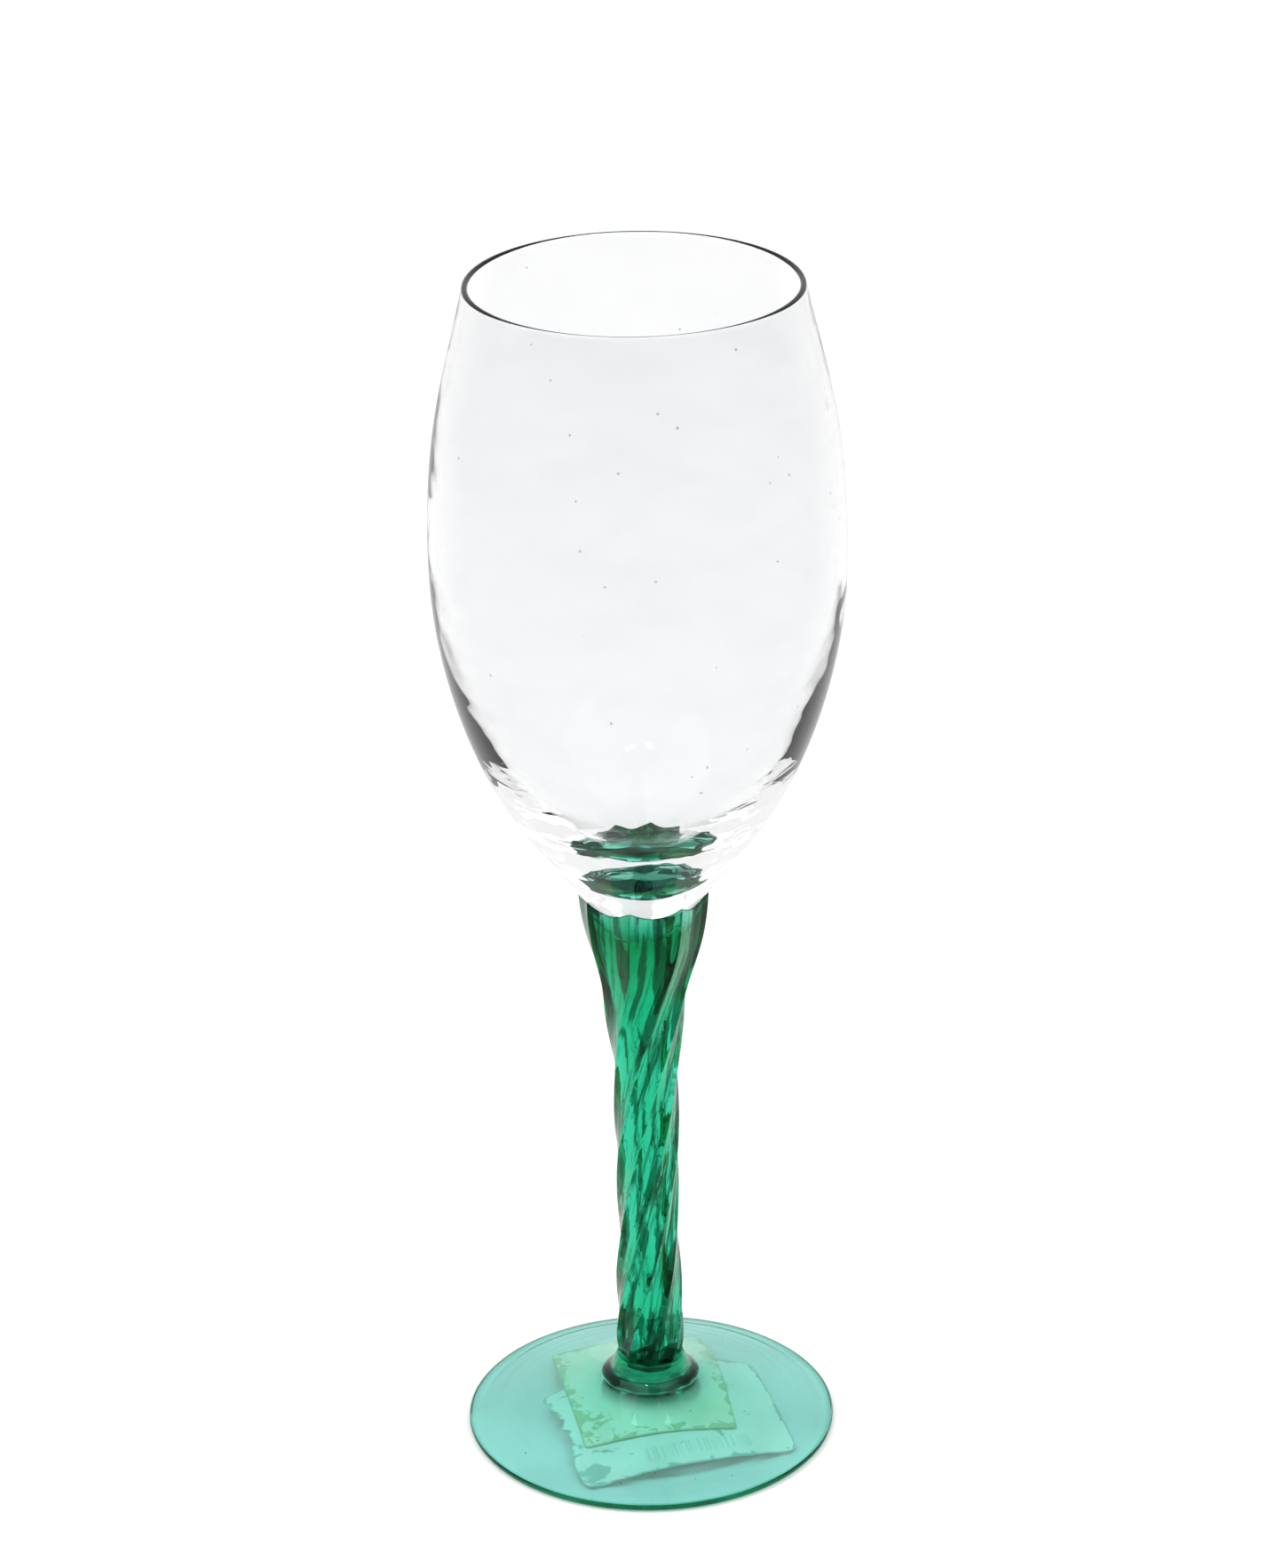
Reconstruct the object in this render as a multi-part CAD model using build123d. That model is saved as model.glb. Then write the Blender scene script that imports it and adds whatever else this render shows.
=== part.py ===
"""Wine glass: clear bowl on a twisted green stem, with a collar, a conical foot and two paper labels.

Millimetres, +Z up, origin at the centre of the ring that the foot rests on. Each piece is one node.
"""
from build123d import *
import os
from math import cos, pi, radians, sin, sqrt

# Overall sizes
GLASS_HEIGHT = 228.0
RIM_RADIUS = 30.0
RIM_WALL = 1.1
BOWL_POLE = 103.5          # lowest point of the bowl, fused inside the stem's cup
CAVITY_POLE = 116.6        # bottom of the drinking cavity

# Bowl profiles, radius and height, from the pole up to just under the rim
RIM_SPRING = GLASS_HEIGHT - RIM_WALL / 2
BASE_SHOULDER = (25.6, 131.6)      # where the thick base passes into the wall
SHOULDER_DIRECTION = (0.53, 1.0)
BOWL_BASE = [(0.0, BOWL_POLE), (6.2, 106.0), (11.0, 110.9), (16.6, 118.2), BASE_SHOULDER]
BOWL_WALL = [
    BASE_SHOULDER, (33.0, 149.2), (36.9, 168.7), (37.3, 182.5), (35.45, 203.5), (RIM_RADIUS, RIM_SPRING),
]
BOWL_INNER = [
    (0.0, CAVITY_POLE), (8.0, 119.2), (15.3, 124.9), (23.7, 134.9), (31.2, 150.2),
    (35.6, 168.7), (36.1, 182.5), (34.3, 203.5), (RIM_RADIUS - RIM_WALL, RIM_SPRING),
]

# Stem: radius over the ridges at heights from the bulb's end to above the cup's edge
RIDGE_COUNT = 8
FLUTE_RATIO = 0.90         # radius at the middle of a flute over radius at a ridge
STEM_RADII = [
    (10.9, 3.8), (12.5, 5.2), (14.0, 5.9), (16.5, 6.35), (20.0, 6.5), (25.0, 6.4), (31.0, 6.2),
    (40.0, 5.8), (50.0, 5.9), (62.0, 6.1), (76.0, 6.35), (85.0, 7.3), (93.8, 8.6), (98.0, 9.8),
    (102.5, 11.0), (108.0, 11.9), (114.0, 12.3),
]
STEM_BOTTOM = STEM_RADII[0][0]
STEM_TOP = STEM_RADII[-1][0]
BULB_TOP = 20.0            # sections are closer together below this height
BULB_STEPS = 6
STEM_STEPS = 24
FIRST_RIDGE = -54.0        # degrees of azimuth at the cup, from +X
TWIST_RATE = 2.65          # degrees of turn for each millimetre down the stem
TWIST_START = 96.0         # height at which the straight ridges begin to turn
TWIST_BLEND = 6.0          # length over which the turn comes in

# Foot: conical disc with a hollow underside inside a raised bead, whose flat is the rest ring
FOOT_RADIUS = 34.9
REST_INNER = 33.0
REST_OUTER = 34.0
HOLLOW_EDGE = (32.0, 0.85)         # foot of the bead's inner slope
EDGE_MIDDLE = (FOOT_RADIUS, 0.9)
EDGE_TOP = (34.2, 1.75)
FOOT_TOP = [(30.0, 2.75), (20.0, 5.5), (12.5, 8.3)]
FOOT_UNDER = [(9.0, 5.3), (18.0, 3.55), (27.0, 1.8)]
HOLLOW_DEPTH = 6.2

# Collar between the bulb and the foot
COLLAR_RADIUS = 9.3
COLLAR_BASE = 9.9
COLLAR_FLANK = [(7.5, 11.4), (6.8, 13.2)]
COLLAR_LIP = (6.4, 14.0)

# Paper labels under the foot: size, corner radius, middle and turn seen from above
LABEL_THICKNESS = 0.2
SMALL_LABEL = {"size": (29.0, 35.0), "corner": 0.6, "middle": (-1.5, 2.5), "turn": 11.0}
LARGE_LABEL = {"size": (42.0, 29.5), "corner": 2.5, "middle": (3.3, -7.8), "turn": 17.0}
LABEL_TOOL_HEIGHT = 12.0


def revolved(wire_edges):
    """Revolve a closed half-profile, drawn as (radius, height) in the XZ plane, about the Z axis."""
    face = make_face(Plane.XZ * Wire(wire_edges))
    return revolve(face, axis=Axis.Z, revolution_arc=360)


def bowl_base_curve():
    """Outside of the solid base, from the pole to the shoulder."""
    return Spline(*BOWL_BASE, tangents=[(1, 0), SHOULDER_DIRECTION])


def make_bowl():
    """Clear bowl: thin wall with a rounded rim, growing to a thick solid base."""
    wall = Spline(*BOWL_WALL, tangents=[SHOULDER_DIRECTION, (-0.22, 1)])
    inner = Spline(*reversed(BOWL_INNER), tangents=[(0.22, -1), (-1, 0)])
    rim_top = (RIM_RADIUS - RIM_WALL / 2, GLASS_HEIGHT)
    lip = ThreePointArc(BOWL_WALL[-1], rim_top, BOWL_INNER[-1])
    axis_line = Line(BOWL_INNER[0], BOWL_BASE[0])
    return revolved([bowl_base_curve(), wall, lip, inner, axis_line])


def make_seat():
    """Solid under the outside of the bowl's base, which shapes the seat in the stem's cup."""
    lid = Line(BASE_SHOULDER, (0, BASE_SHOULDER[1]))
    axis_line = Line((0, BASE_SHOULDER[1]), BOWL_BASE[0])
    return revolved([bowl_base_curve(), lid, axis_line])


def interpolate(stations, height):
    """Smooth value between stations of (height, value), as a cubic with finite-difference slopes."""
    last = len(stations) - 1
    index = 0
    while index < last - 1 and height > stations[index + 1][0]:
        index += 1
    slopes = []
    for i in (index, index + 1):
        below = stations[max(i - 1, 0)]
        above = stations[min(i + 1, last)]
        slopes.append((above[1] - below[1]) / (above[0] - below[0]))
    start, end = stations[index], stations[index + 1]
    span = end[0] - start[0]
    t = min(max((height - start[0]) / span, 0.0), 1.0)
    rise = t * t * (3 - 2 * t)
    leave = t * (1 - t) ** 2
    arrive = -t * t * (1 - t)
    return start[1] + (end[1] - start[1]) * rise + span * (slopes[0] * leave + slopes[1] * arrive)


def twist(height):
    """Turn of the ridges in degrees at a height: none in the cup, then a steady right-handed helix."""
    drop = TWIST_START - height
    return TWIST_RATE * 0.5 * (drop + sqrt(drop * drop + TWIST_BLEND ** 2))


def stem_section(height):
    """Cross-section of the stem: eight ridges joined by shallow hollow flutes."""
    ridge = interpolate(STEM_RADII, height)
    flute = ridge * FLUTE_RATIO
    pitch = 2 * pi / RIDGE_COUNT
    phase = radians(FIRST_RIDGE - twist(height))
    flutes = []
    for k in range(RIDGE_COUNT):
        start = phase + k * pitch
        points = []
        for radius, angle in ((ridge, start), (flute, start + pitch / 2), (ridge, start + pitch)):
            points.append((radius * cos(angle), radius * sin(angle)))
        flutes.append(ThreePointArc(*points))
    return Pos(0, 0, height) * make_face(Wire(flutes))


def stem_heights():
    """Heights of the stem's sections: close together in the bulb, even above it."""
    bulb = [STEM_BOTTOM + (BULB_TOP - STEM_BOTTOM) * i / BULB_STEPS for i in range(BULB_STEPS)]
    rest = [BULB_TOP + (STEM_TOP - BULB_TOP) * i / STEM_STEPS for i in range(STEM_STEPS + 1)]
    return bulb + rest


def make_stem():
    """Solid ridged stem, cut at the top to the seat of the bowl."""
    body = loft([stem_section(height) for height in stem_heights()])
    return body - make_seat()


def under_curve(drop=0.0):
    """Underside of the foot from the axis to the bead, lowered by a distance."""
    stations = [(0.0, HOLLOW_DEPTH)] + FOOT_UNDER + [HOLLOW_EDGE]
    points = [(radius, height - drop) for radius, height in stations]
    return Spline(*points, tangents=[(1, 0), (1, -0.19)])


def make_foot():
    """Conical disc with a rounded edge, a hollow underside and a flat rest ring at z = 0."""
    under = under_curve()
    bead = Line(HOLLOW_EDGE, (REST_INNER, 0))
    rest = Line((REST_INNER, 0), (REST_OUTER, 0))
    edge = ThreePointArc((REST_OUTER, 0), EDGE_MIDDLE, EDGE_TOP)
    top = Spline(EDGE_TOP, *FOOT_TOP, (COLLAR_RADIUS, COLLAR_BASE))
    seat = Line((COLLAR_RADIUS, COLLAR_BASE), (0, COLLAR_BASE))
    axis_line = Line((0, COLLAR_BASE), (0, HOLLOW_DEPTH))
    return revolved([under, bead, rest, edge, top, seat, axis_line])


def make_foot_collar(stem):
    """Flared ring that holds the stem's bulb and stands on the foot."""
    base = Line((0, COLLAR_BASE), (COLLAR_RADIUS, COLLAR_BASE))
    flank = Spline((COLLAR_RADIUS, COLLAR_BASE), *COLLAR_FLANK, COLLAR_LIP)
    top = Line(COLLAR_LIP, (0, COLLAR_LIP[1]))
    axis_line = Line((0, COLLAR_LIP[1]), (0, COLLAR_BASE))
    return revolved([base, flank, top, axis_line]) - stem


def make_label(label, layer):
    """Paper label that follows the underside of the foot, in the given layer counted from the glass."""
    top_drop = layer * LABEL_THICKNESS
    low_drop = top_drop + LABEL_THICKNESS
    upper = under_curve(top_drop)
    lower = under_curve(low_drop)
    side_radius, side_height = HOLLOW_EDGE
    side = Line((side_radius, side_height - top_drop), (side_radius, side_height - low_drop))
    axis_line = Line((0, HOLLOW_DEPTH - low_drop), (0, HOLLOW_DEPTH - top_drop))
    skin = revolved([upper, side, lower, axis_line])
    outline = RectangleRounded(*label["size"], label["corner"])
    placed = Pos(*label["middle"], -LABEL_TOOL_HEIGHT / 2) * Rot(0, 0, label["turn"]) * outline
    return skin & extrude(placed, LABEL_TOOL_HEIGHT * 1.5)


def write_parts():
    stem = make_stem()
    parts = {
        "bowl": make_bowl(),
        "stem": stem,
        "foot_collar": make_foot_collar(stem),
        "foot": make_foot(),
        "price_label_small": make_label(SMALL_LABEL, 0),
        "price_label_large": make_label(LARGE_LABEL, 1),
    }
    os.makedirs("parts", exist_ok=True)
    for name, shape in parts.items():
        shape.label = name
        export_step(shape, f"parts/{name}.step")


write_parts()
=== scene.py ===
"""Wine glass in a pale studio: clear bowl, twisted green stem, collar, conical foot, two labels.

Blender works in metres, in the CAD frame. The profiles below are in millimetres, and MM turns them
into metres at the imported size. The visible meshes repeat the CAD curves finely.
"""
import bpy
import math
import random
import numpy as np
from mathutils import Euler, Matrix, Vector, noise


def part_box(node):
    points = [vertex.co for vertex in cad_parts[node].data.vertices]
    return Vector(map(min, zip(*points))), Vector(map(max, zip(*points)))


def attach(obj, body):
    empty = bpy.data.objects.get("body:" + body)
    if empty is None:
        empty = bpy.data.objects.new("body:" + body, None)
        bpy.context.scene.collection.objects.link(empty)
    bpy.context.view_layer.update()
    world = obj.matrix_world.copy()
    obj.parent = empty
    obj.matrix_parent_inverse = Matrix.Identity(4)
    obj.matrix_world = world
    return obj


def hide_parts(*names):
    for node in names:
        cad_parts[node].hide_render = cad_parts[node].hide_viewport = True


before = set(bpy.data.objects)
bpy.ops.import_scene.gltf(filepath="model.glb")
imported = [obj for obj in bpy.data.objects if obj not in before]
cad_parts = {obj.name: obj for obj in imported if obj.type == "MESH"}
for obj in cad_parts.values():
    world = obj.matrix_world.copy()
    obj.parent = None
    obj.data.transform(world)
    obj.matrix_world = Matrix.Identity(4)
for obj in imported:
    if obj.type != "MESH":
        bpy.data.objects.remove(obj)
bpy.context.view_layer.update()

# Scale, from the frame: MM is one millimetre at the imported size
GLASS_HEIGHT = 228.0
BOWL_LOW, BOWL_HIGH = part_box("bowl")
MM = BOWL_HIGH.z / GLASS_HEIGHT
OVERLAP = 0.02 * MM        # fused pieces reach this far into each other, so that no air film shows

# Bowl profiles in millimetres, radius and height
RIM_RADIUS = 30.0
RIM_WALL = 1.1
RIM_SPRING = GLASS_HEIGHT - RIM_WALL / 2
BOWL_OUTER = [
    (0.0, 103.5), (6.2, 106.0), (11.0, 110.9), (16.6, 118.2), (25.6, 131.6), (33.0, 149.2),
    (36.9, 168.7), (37.3, 182.5), (35.45, 203.5), (RIM_RADIUS, RIM_SPRING),
]
BOWL_INNER = [
    (0.0, 116.6), (8.0, 119.2), (15.3, 124.9), (23.7, 134.9), (31.2, 150.2),
    (35.6, 168.7), (36.1, 182.5), (34.3, 203.5), (RIM_RADIUS - RIM_WALL, RIM_SPRING),
]
RIM_DIRECTION = (-0.22, 1.0)
BOWL_COLUMNS = 288
BOWL_ROWS = 180
LIP_ROWS = 14
INNER_WAVES = (17.0, 0.10, 3.0)        # unevenness: size and depth in mm, and a seed
INNER_RIPPLES = (6.0, 0.03, 40.0)
RIPPLE_SQUEEZE = 1.8                   # the inner ripples are wider than they are high
WAVES_END = 226.0                      # the inner wall is even at this height, under the rim
WAVES_FADE = 12.0
BASE_WAVES = (6.0, 0.10, 21.0)
BASE_RIPPLES = (2.4, 0.02, 33.0)
BASE_WAVES_FROM, BASE_WAVES_IN = 114.5, 1.5
BASE_WAVES_TO, BASE_WAVES_OUT = 130.0, 6.0

# Stem, radius over the ridges and height, from the bulb's pole to above the cup's edge
STEM_PROFILE = [
    (0.0, 10.9), (3.6, 11.5), (5.2, 12.9), (6.0, 14.8), (6.45, 18.5), (6.4, 25.0), (6.2, 31.0),
    (5.8, 40.0), (5.9, 50.0), (6.1, 62.0), (6.35, 76.0), (7.3, 85.0), (8.6, 93.8), (9.8, 98.0),
    (11.0, 102.5), (11.9, 108.0), (12.3, 114.0),
]
RIDGE_COUNT = 8
FLUTE_DEPTH = 0.105        # how far a flute's middle lies inside the ridges, as a share of the radius
RIDGE_ROUNDING = 0.05
STREAK_DEPTH = 0.07        # unevenness drawn out along the ridges as the hot glass was twisted
LONG_STREAKS = (4.5, 16.0)             # how fast they vary round the stem, and length in mm
SHORT_STREAKS = (11.0, 3.5)
SHORT_SHARE = 0.35
RIDGE_FADE = 5.0           # radius under which the ridges die away, towards the bulb's pole
CUP_FROM = 100.0           # above this height the rows run up to the cup's uneven edge
CUP_ROWS = 50
CUP_LIP = 0.8              # height over which the cup's edge rounds over onto the bowl
LIP_SLOPE = 0.4            # share of that height by which the lip comes down on the inside
LIP_STEPS = 8
CREST_DROP = 0.02
EDGE_SEARCH = (108.0, 113.9)           # heights between which the cup meets the bowl
EDGE_HALVINGS = 40
FIRST_RIDGE = -54.0        # azimuth in degrees
TWIST_RATE = 2.65          # degrees of turn for each millimetre down the stem
TWIST_START = 96.0
TWIST_BLEND = 6.0
STEM_COLUMNS = RIDGE_COUNT * 32
STEM_ROWS = 420
STEM_SAMPLES = 900
SEAT_ROWS = 40
SEAT_CURVE = 60            # samples of the bowl's outside that cover the seat
SEAT_MARK = 200.0          # added to the streak distance on the seat, where it is the radius in mm

# Collar and foot profiles in millimetres
COLLAR_BASE = 9.9
COLLAR_FLANK = [(9.3, COLLAR_BASE), (7.5, 11.4), (6.8, 13.2), (6.5, 13.9)]
COLLAR_BASE_RINGS = (3.0, 6.0, 9.0)
COLLAR_LIP = 6.3
COLLAR_TOP = 14.1
RECESS_DROP = 0.1          # the recess for the bulb starts this far under the collar's top
HOLLOW_DEPTH = 6.2
FOOT_UNDER = [(0.0, HOLLOW_DEPTH), (9.0, 5.3), (18.0, 3.55), (27.0, 1.8), (32.0, 0.85)]
FOOT_EDGE = [(34.0, 0.0), (34.62, 0.32), (34.9, 0.95), (34.7, 1.52), (34.2, 1.75)]
FOOT_TOP = [(34.2, 1.75), (30.0, 2.75), (20.0, 5.5), (12.5, 8.3), (9.3, COLLAR_BASE)]
FOOT_COLUMNS = 256
RIPPLE_HEIGHT = 0.025      # faint rings left by spinning the foot out
RIPPLE_RATE = 2.6          # radians of ripple for each millimetre of radius
RIPPLES_FROM, RIPPLES_IN = 24.0, 3.0
RIPPLES_TO, RIPPLES_OUT = 33.5, 1.5
FOOT_WAVES = (9.0, 0.04, 11.0)

# Paper of the labels
PAPER_THICKNESS = 0.12
PAPER_ACROSS = 90
PAPER_ALONG = 70
END_CROWDING = 0.35        # how much closer together the rows lie at the sheet's two ends
TEAR_MIDDLE, TEAR_HALF = 0.12, 0.36    # place of the tear, as shares of the sheet's length
TEAR_DEPTH = 1.7
TEAR_TEETH, TEAR_TEETH_RATE = 1.8, 14.0
TEAR_FRAY, TEAR_FRAY_RATE = 0.6, 45.0
FIBRE_ENDS = 0.12
SMALL_CORNER_GAP = 0.12
SMALL_WAVES = 0.03
LARGE_CORNER_GAP = 0.55
LARGE_EDGE_WAVE = 0.08


def spline(points, first, last, count):
    """Smooth curve through points, as count samples evenly spaced by chord length."""
    p = np.array(points, float)
    h = np.linalg.norm(np.diff(p, axis=0), axis=1)
    n = len(p)
    matrix = np.zeros((n, n))
    right = np.zeros((n, 2))
    matrix[0, 0] = matrix[-1, -1] = 1.0
    right[0] = np.array(first, float) / np.hypot(*first)
    right[-1] = np.array(last, float) / np.hypot(*last)
    for i in range(1, n - 1):
        matrix[i, i - 1:i + 2] = h[i], 2 * (h[i - 1] + h[i]), h[i - 1]
        before = (p[i] - p[i - 1]) * h[i] / h[i - 1]
        after = (p[i + 1] - p[i]) * h[i - 1] / h[i]
        right[i] = 3 * (before + after)
    slope = np.linalg.solve(matrix, right)
    knots = np.concatenate([[0.0], np.cumsum(h)])
    t = np.linspace(0.0, knots[-1], count)
    i = np.clip(np.searchsorted(knots, t, side="right") - 1, 0, n - 2)
    s = ((t - knots[i]) / h[i])[:, None]
    span = h[i][:, None]
    rise = s * s * (3 - 2 * s)
    leave = s * (1 - s) ** 2
    arrive = -s * s * (1 - s)
    return p[i] * (1 - rise) + p[i + 1] * rise + span * (slope[i] * leave + slope[i + 1] * arrive)


def ring(radius, height, angles):
    """One ring of points in metres from radii and heights in millimetres."""
    radius = np.broadcast_to(radius, angles.shape)
    height = np.broadcast_to(height, angles.shape)
    return np.stack([radius * np.cos(angles), radius * np.sin(angles), height], axis=1) * MM


def skin(name, rows, material, nodes, drawn=None):
    """Closed mesh through rings of points, where a row of one point is a pole. The optional drawn
    rows give each point its place in the untwisted glass, which the streaks follow."""
    verts, faces, starts = [], [], []
    for row in rows:
        starts.append(len(verts))
        verts.extend(map(tuple, row))
    for a, b in zip(range(len(rows) - 1), range(1, len(rows))):
        lower, upper = starts[a], starts[b]
        count = max(len(rows[a]), len(rows[b]))
        for k in range(count):
            k2 = (k + 1) % count
            if len(rows[a]) == 1:
                faces.append((lower, upper + k2, upper + k))
            elif len(rows[b]) == 1:
                faces.append((lower + k, lower + k2, upper))
            else:
                faces.append((lower + k, lower + k2, upper + k2, upper + k))
    mesh = bpy.data.meshes.new(name)
    mesh.from_pydata(verts, [], faces)
    mesh.update()
    if drawn:
        add_attribute(mesh, "drawn", np.concatenate(drawn))
    return piece_from(name, mesh, material, nodes)


def add_attribute(mesh, name, vectors):
    """Keeps one vector for each point, which the mesh's material reads by name."""
    attribute = mesh.attributes.new(name, "FLOAT_VECTOR", "POINT")
    attribute.data.foreach_set("vector", np.array(vectors, np.float32).ravel())


def piece_from(name, mesh, material, nodes, crease=35.0):
    """Shades a mesh, gives it its material and rides it on the root in place of its CAD nodes."""
    mesh.shade_smooth()
    mesh.set_sharp_from_angle(angle=math.radians(crease))
    obj = bpy.data.objects.new(name, mesh)
    bpy.context.scene.collection.objects.link(obj)
    mesh.materials.append(material)
    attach(obj, "root")
    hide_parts(*nodes)
    return obj


def lathe_rows(profile, columns, wobble=None):
    """Rings of a turned shape from a profile whose ends may lie on the axis."""
    angles = np.linspace(0, 2 * math.pi, columns, endpoint=False)
    rows = []
    for radius, height in profile:
        if radius < 1e-6:
            rows.append(np.array([[0.0, 0.0, height * MM]]))
        else:
            shift = wobble(radius, height, angles) if wobble else 0.0
            rows.append(ring(radius + shift, height, angles))
    return rows


def waviness(radius, height, angles, waves):
    """Smooth unevenness of blown glass round one ring, in millimetres."""
    size, amount, seed = waves
    out = np.empty(len(angles))
    for k, a in enumerate(angles):
        spot = Vector((radius * math.cos(a), radius * math.sin(a), height + seed)) / size
        out[k] = noise.noise(spot)
    return out * amount


def window(value, start, rise, end, fall):
    """1 between two places, fading in over rise from the first and out over fall to the second."""
    return np.clip((value - start) / rise, 0, 1) * np.clip((end - value) / fall, 0, 1)


def bowl_outer():
    """Outside of the bowl, radius and height in millimetres, from the pole to the rim's spring."""
    return spline(BOWL_OUTER, (1, 0), RIM_DIRECTION, BOWL_ROWS)


def bowl_radius_at(height):
    """Outside radius of the bowl at a height, both in millimetres."""
    curve = bowl_outer()
    return np.interp(height, curve[:, 1], curve[:, 0])


def inner_wobble(radius, height, angles):
    """Unevenness of the bowl's inner wall, which ends under the rim."""
    fade = np.clip((WAVES_END - height) / WAVES_FADE, 0, 1)
    broad = waviness(radius, height, angles, INNER_WAVES)
    fine = waviness(radius, height * RIPPLE_SQUEEZE, angles, INNER_RIPPLES)
    return fade * (broad + fine)


def base_wobble(radius, height, angles):
    """Unevenness round the outside of the bowl's thick base, clear of the stem's cup."""
    fade = window(height, BASE_WAVES_FROM, BASE_WAVES_IN, BASE_WAVES_TO, BASE_WAVES_OUT)
    broad = waviness(radius, height, angles, BASE_WAVES)
    fine = waviness(radius, height, angles, BASE_RIPPLES)
    return fade * (broad + fine)


def make_bowl(material):
    """Clear bowl: outside, rounded rim and inside, in one closed skin."""
    inner = spline(BOWL_INNER, (1, 0), RIM_DIRECTION, BOWL_ROWS)[::-1]
    turn = np.linspace(0, math.pi, LIP_ROWS + 2)[1:-1]
    half = RIM_WALL / 2
    lip = np.stack([RIM_RADIUS - half + half * np.cos(turn), RIM_SPRING + half * np.sin(turn)], axis=1)
    rows = lathe_rows(bowl_outer(), BOWL_COLUMNS, base_wobble)
    rows += lathe_rows(lip, BOWL_COLUMNS)
    rows += lathe_rows(inner, BOWL_COLUMNS, inner_wobble)
    return skin("clear_bowl", rows, material, ["bowl"])


def twist(height):
    """Turn of the ridges in degrees at a height: none in the cup, then a steady helix."""
    drop = TWIST_START - height
    return TWIST_RATE * 0.5 * (drop + np.sqrt(drop * drop + TWIST_BLEND ** 2))


def phase(height):
    """Azimuth of the first ridge at a height, in radians."""
    return np.radians(FIRST_RIDGE - twist(height))


# Each ridge differs a little: its height as a share, and its shift as a share of the pitch
RIDGE_RANDOM = random.Random(8)
RIDGE_HEIGHTS = [RIDGE_RANDOM.uniform(0.8, 1.15) for _ in range(RIDGE_COUNT)]
RIDGE_SHIFTS = [RIDGE_RANDOM.uniform(-0.06, 0.06) for _ in range(RIDGE_COUNT)]


def ridge_columns():
    """Angle from the first ridge and depth below the ridges' circle, for each stem column."""
    per_flute = STEM_COLUMNS // RIDGE_COUNT
    pitch = 2 * math.pi / RIDGE_COUNT
    angles, depths = [], []
    for k in range(STEM_COLUMNS):
        flute, step = divmod(k, per_flute)
        u = 2 * step / per_flute - 1
        after = (flute + 1) % RIDGE_COUNT
        share = (u + 1) / 2
        shift = RIDGE_SHIFTS[flute] * (1 - share) + RIDGE_SHIFTS[after] * share
        height = RIDGE_HEIGHTS[flute] * (1 - share) + RIDGE_HEIGHTS[after] * share
        hollow = math.sqrt((1 - u * u) ** 2 + RIDGE_ROUNDING ** 2) - RIDGE_ROUNDING
        angles.append((flute + share + shift) * pitch)
        depths.append(FLUTE_DEPTH * height * hollow)
    return np.array(angles), np.array(depths)


COLUMN_ANGLES, COLUMN_DEPTHS = ridge_columns()


def streaks(height):
    """Fine unevenness that follows the ridges, in millimetres for each column of the stem."""
    level = float(np.mean(height))
    long_rate, long_length = LONG_STREAKS
    short_rate, short_length = SHORT_STREAKS
    out = np.empty(STEM_COLUMNS)
    for k, angle in enumerate(COLUMN_ANGLES):
        across = Vector((math.cos(angle), math.sin(angle), 0.0))
        long_one = noise.noise(across * long_rate + Vector((0, 0, level / long_length)))
        short_one = noise.noise(across * short_rate + Vector((9.0, 0, level / short_length)))
        out[k] = long_one + SHORT_SHARE * short_one
    return out * STREAK_DEPTH


def stem_ring(radius, height, inset=0.0, lift=0.0):
    """Ridged ring of the stem, its flutes and streaks fading out towards the bulb's pole."""
    fade = np.clip(np.asarray(radius) / RIDGE_FADE, 0, 1)
    r = radius * (1 - COLUMN_DEPTHS * fade) + streaks(height) * fade - inset
    return ring(np.maximum(r, 0.0), np.asarray(height) + lift, phase(height) + COLUMN_ANGLES)


def drawn_ring(distance, count):
    """Untwisted place of one ring: direction round the axis, and distance along the glass in mm."""
    if count == 1:
        return np.array([[0.0, 0.0, distance]])
    along = np.full(count, distance)
    return np.stack([np.cos(COLUMN_ANGLES), np.sin(COLUMN_ANGLES), along], axis=1)


def cup_edge(curve):
    """Height at which each column of the stem meets the outside of the bowl, in millimetres."""
    low = np.full(STEM_COLUMNS, EDGE_SEARCH[0])
    high = np.full(STEM_COLUMNS, EDGE_SEARCH[1])
    for _ in range(EDGE_HALVINGS):
        middle = (low + high) / 2
        wall = np.interp(middle, curve[:, 1], curve[:, 0]) * (1 - COLUMN_DEPTHS)
        outside = bowl_radius_at(middle) > wall
        high = np.where(outside, middle, high)
        low = np.where(outside, low, middle)
    return (low + high) / 2


def stem_curve():
    """Radius over the ridges and height, in millimetres, from the bulb's pole to above the cup."""
    return spline(STEM_PROFILE, (1, 0), (0.05, 1), STEM_SAMPLES)


def stem_side_rows(curve, edge):
    """Rings from the bulb's pole up to just under the cup's edge."""
    rows = [np.array([[0.0, 0.0, curve[0, 1] * MM]])]
    lower = curve[curve[:, 1] < CUP_FROM]
    picks = np.unique(np.linspace(1, len(lower) - 1, STEM_ROWS).astype(int))
    for radius, height in lower[picks]:
        rows.append(stem_ring(radius, height))
    start = lower[-1, 1]
    for share in np.linspace(0, 1, CUP_ROWS)[1:]:
        height = start + (edge - CUP_LIP - start) * share
        radius = np.interp(height, curve[:, 1], curve[:, 0])
        rows.append(stem_ring(radius, height))
    return rows


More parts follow.
